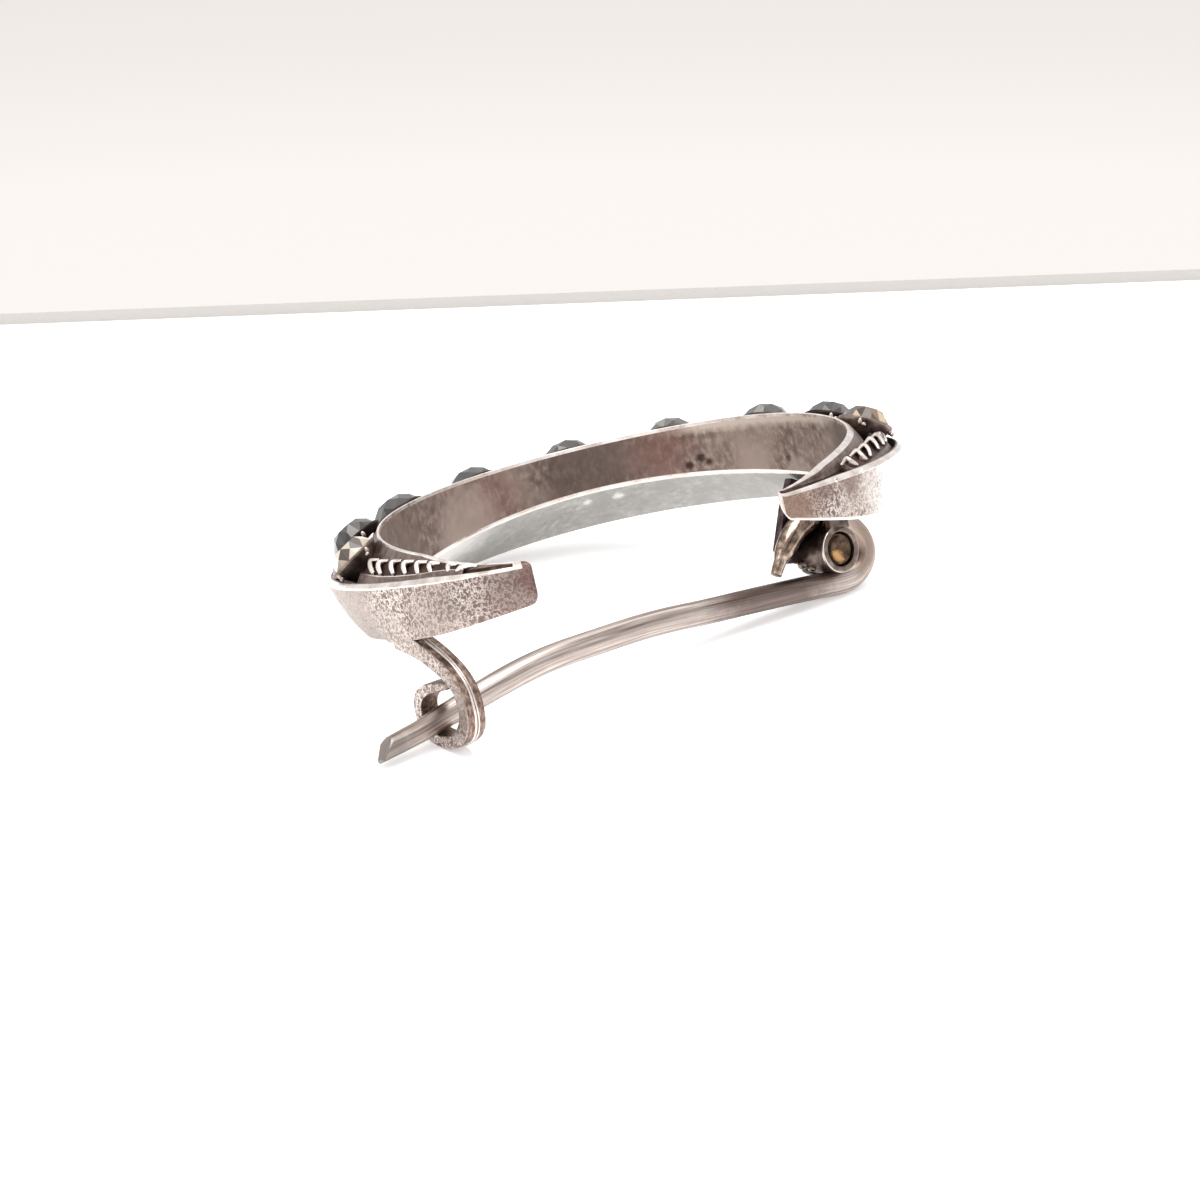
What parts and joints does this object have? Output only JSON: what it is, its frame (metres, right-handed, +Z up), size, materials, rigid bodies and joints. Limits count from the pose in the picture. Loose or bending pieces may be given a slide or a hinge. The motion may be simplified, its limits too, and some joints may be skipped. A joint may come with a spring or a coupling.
{
  "type": "crescent brooch",
  "caption": "Silver crescent brooch: domed openwork crescent with a row of graduated cut stones, a wire pin on a tube hinge and a hook catch, lying stones up.",
  "frame": {"origin": "bottom centre of the whole brooch as it lies, stones up, on hinge, catch and back edge", "axes": "+Z up; +X from the left tip's side to the hinge's side; +Y from the open side to the closed side of the crescent, as seen from above"},
  "size_m": [0.028, 0.0248, 0.0115],
  "materials": {
    "silver": "worn silver, darkened in the recesses",
    "pin_metal": "drawn wire with long streaks",
    "rivet_metal": "brown, dull",
    "paste": "cut and polished, foiled and darkened behind"
  },
  "bodies": {
    "brooch": {"silver_frame": "silver", "hinge_rivet": "rivet_metal", "stone_1": "paste", "stone_2": "paste", "stone_3": "paste", "stone_4": "paste", "stone_5": "paste", "stone_6": "paste", "stone_7": "paste", "stone_8": "paste", "stone_9": "paste"},
    "pin": {"pin_stem": "pin_metal"}
  },
  "joints": [
    {"name": "pin_swing", "type": "hinge", "parent": "brooch", "child": "pin", "pos_m": [0.01122, 0.00195, 0.00223], "axis": [0.4211, -0.8383, 0.3462], "range_deg": [0, 50]}
  ]
}
